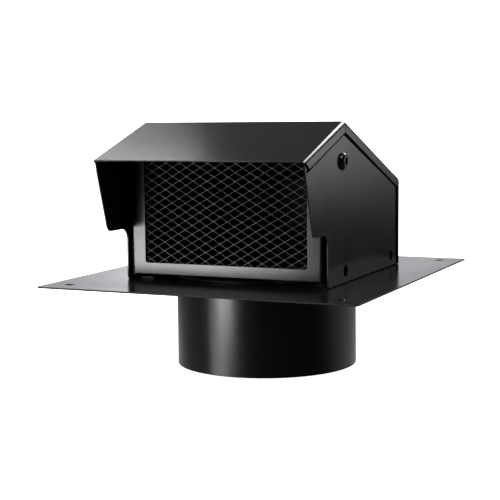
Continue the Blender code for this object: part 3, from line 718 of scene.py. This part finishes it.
def build_rake_shadow_bead(label, side):
    """Dark beads on the side panel, under the edge of the cover's front rake and of its rear rake: painted
    shade that draws the shadow line below each rake, shaped as sealer.
    """
    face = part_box("side_panel_right")[1].x * side
    across = Vector((SEAL_WIDTH / 2, 0, 0))
    mesh = bmesh.new()
    for near, far, near_tall, far_tall in RAKE_SHADOW_BEADS:
        along = (Vector((0, *far)) - Vector((0, *near))).normalized()
        square = Vector((0, -along.z, along.y)) * RAKE_SHADOW_BEAD_RISE
        ovals = []
        for (y, z), tall in ((near, near_tall), (far, far_tall)):
            ovals.append((Vector((face, y, z - tall / 2)), across, square * tall))
        add_bead(mesh, ovals)
    finish_piece(mesh, "rake_shadow_bead_" + label, "hood_coat", material=SEALER_PAINTED_SHADE)


def place_camera():
    """A camera at the photograph's place, turned by yaw and pitch, then rolled."""
    right = Vector((math.cos(CAMERA_YAW), math.sin(CAMERA_YAW), 0))
    level = Vector((-math.sin(CAMERA_YAW), math.cos(CAMERA_YAW), 0))
    ahead = level * math.cos(CAMERA_PITCH) - Vector((0, 0, 1)) * math.sin(CAMERA_PITCH)
    above = level * math.sin(CAMERA_PITCH) + Vector((0, 0, 1)) * math.cos(CAMERA_PITCH)
    x = right * math.cos(CAMERA_ROLL) + above * math.sin(CAMERA_ROLL)
    y = above * math.cos(CAMERA_ROLL) - right * math.sin(CAMERA_ROLL)
    data = bpy.data.cameras.new("camera")
    data.sensor_width = CAMERA_SENSOR
    data.lens = CAMERA_SENSOR * CAMERA_FOCAL / IMAGE_SIDE
    data.clip_start, data.clip_end = CAMERA_CLIP
    camera = bpy.data.objects.new("camera", data)
    camera.matrix_world = Matrix.Translation(CAMERA_PLACE) @ Matrix((x, y, -ahead)).transposed().to_4x4()
    bpy.context.scene.collection.objects.link(camera)
    bpy.context.scene.camera = camera


def turned_to(azimuth, elevation):
    """A direction by degrees to the right of straight behind the part, and above level."""
    across, up = math.radians(azimuth), math.radians(elevation)
    return Vector((math.sin(across) * math.cos(up), math.cos(across) * math.cos(up), math.sin(up)))


def softbox(name, direction, distance, size, radiance, aim=HOOD_MIDDLE, lean=0):
    """A rectangular light that faces a point from a direction, and leans about it, both in degrees."""
    away = turned_to(*direction).normalized()
    width, height = size
    data = bpy.data.lights.new(name, "AREA")
    data.shape = "RECTANGLE"
    data.size, data.size_y = width, height
    data.energy = radiance * math.pi * width * height
    data.color = LIGHT_TINT
    light = bpy.data.objects.new(name, data)
    light.location = Vector(aim) + away * distance
    light.rotation_mode = "QUATERNION"
    light.rotation_quaternion = away.to_track_quat("Z", "Y") @ Quaternion((0, 0, 1), math.radians(lean))
    light.visible_camera = False
    bpy.context.scene.collection.objects.link(light)


def light_part():
    """Each softbox stands where one sheet mirrors it, and the near ones fade across what they light."""
    softbox("rear_left_box", (-49.5, 42), 1.6, (0.60, 0.60), 4.1, aim=EAVE_LEFT, lean=-38)
    softbox("rear_right_box", (17, 38), 1.8, (0.76, 0.80), 11.0)
    softbox("front_left_box", (-151.3, -5.8), NEAR_PART, (0.23, 0.135), 14.5, aim=WINDOW_FOOT)
    softbox("front_left_glow", (-153, 11), NEAR_PART, (0.22, 0.08), 4.0, aim=SILL_MIDDLE)
    softbox("low_left_box", (-140, -13), 1.8, (0.66, 0.42), 3.8, aim=COLLAR_LOW)
    softbox("left_high_box", (-125, 38), 1.5, (1.2, 0.5), 10.0)
    softbox("left_strip", (-85, 5), 1.5, (0.35, 0.22), 14.0)
    softbox("overhead_box", (165, 62), 1.5, (0.7, 0.7), 5.0)


def light_world():
    """What the coats mirror: a wall behind with two bright parts and a table below. The camera sees white."""
    world = bpy.data.worlds.new("studio")
    world.use_nodes = True
    tree = world.node_tree
    tree.nodes.clear()
    sideways, depth, height = split(tree, new_node(tree, "ShaderNodeTexCoord").outputs["Generated"])
    across = calc(tree, "DIVIDE", sideways, either(tree, depth, LEAST_DEPTH))

    # The wall's left, brightest in a soft stripe, fades upwards
    glow = remap(tree, across, (-0.67, -0.55), (0.0, 0.65))
    glow = times(tree, glow, remap(tree, across, (-0.5, -0.35), (1.0, 0.0)))
    left = add(tree, remap(tree, across, (-0.29, -0.20), (0.92, 0.05)), glow)
    left = times(tree, left, remap(tree, height, (0.20, 0.42), (1.0, 0.07)))

    # The wall's right is bright low down
    right = remap(tree, across, (0.335, 0.375), (0.0, 1.5))
    right = times(tree, right, remap(tree, height, (0.02, 0.10), (1.0, 0.10)))

    # The wall ends above the table, which is brighter behind and on the left
    above = remap(tree, height, (-0.080, -0.026))
    behind = remap(tree, depth, (0.1, 0.6))
    wall = times(tree, add(tree, left, right), above, behind)
    near = remap(tree, depth, (0.0, 1.0), (0.03, 0.52))
    table = add(tree, near, remap(tree, sideways, (-1.0, -0.3), (0.18, 0.0)))
    table = times(tree, table, remap(tree, height, (-0.165, -0.135), (1.0, 0.0)))

    seen = new_node(tree, "ShaderNodeLightPath").outputs["Is Camera Ray"]
    level = add(tree, wall, table, WORLD_LEAST, times(tree, seen, WORLD_SEEN))
    back = new_node(tree, "ShaderNodeBackground")
    back.inputs["Color"].default_value = WORLD_TINT
    link(tree, level, back.inputs["Strength"])
    link(tree, back.outputs[0], new_node(tree, "ShaderNodeOutputWorld").inputs["Surface"])
    bpy.context.scene.world = world


def lay_floor():
    """A plain pale floor that the part stands on, which the coats don't mirror."""
    mesh = bmesh.new()
    bmesh.ops.create_grid(mesh, x_segments=FLOOR_CELLS, y_segments=FLOOR_CELLS, size=FLOOR_HALF)
    data = bpy.data.meshes.new("floor")
    mesh.to_mesh(data)
    mesh.free()
    floor = bpy.data.objects.new("floor", data)
    floor.location = (0, 0, -FLOOR_DROP)
    bpy.context.scene.collection.objects.link(floor)
    material = bpy.data.materials.new("pale_floor")
    material.use_nodes = True
    tree = material.node_tree
    shader = tree.nodes["Principled BSDF"]
    place = new_node(tree, "ShaderNodeTexCoord").outputs["Object"]
    cloud = noise(tree, place, 2.5, 3, 0.5)
    pale = blend_colour(tree, cloud, (0.86, 0.86, 0.86, 1), (0.90, 0.90, 0.90, 1))
    link(tree, pale, shader.inputs["Base Color"])
    link(tree, remap(tree, cloud, (0.3, 0.7), (0.75, 0.85)), shader.inputs["Roughness"])
    shader.inputs["Emission Color"].default_value = (1, 1, 1, 1)
    shader.inputs["Emission Strength"].default_value = FLOOR_GLOW
    data.materials.append(material)
    floor.visible_glossy = False
    floor.visible_diffuse = False
    floor.visible_shadow = False


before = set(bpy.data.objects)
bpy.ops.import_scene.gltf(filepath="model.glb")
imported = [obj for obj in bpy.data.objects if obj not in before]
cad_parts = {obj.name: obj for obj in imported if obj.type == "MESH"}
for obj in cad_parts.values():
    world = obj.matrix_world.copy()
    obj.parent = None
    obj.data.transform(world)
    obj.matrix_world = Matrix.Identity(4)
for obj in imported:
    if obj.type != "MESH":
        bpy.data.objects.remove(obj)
bpy.context.view_layer.update()

dress_frame()
build_mesh()
build_foot_seal()
for side_label, side_sign in SIDES.items():
    build_rake_shadow_bead(side_label, side_sign)
    build_screw(side_label, side_sign)
    build_ring("peak_spacer_" + side_label, "spacer_" + side_label, side_sign, SPACER_EASE)
    build_ring("peak_washer_" + side_label, "washer_" + side_label, side_sign, WASHER_EASE)
    build_nut(side_label, side_sign)
for rivet_node in sorted(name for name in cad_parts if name.startswith("frame_rivet_")):
    build_rivet(rivet_node)

place_camera()
light_world()
light_part()
lay_floor()
bpy.context.scene.view_settings.view_transform = "Standard"
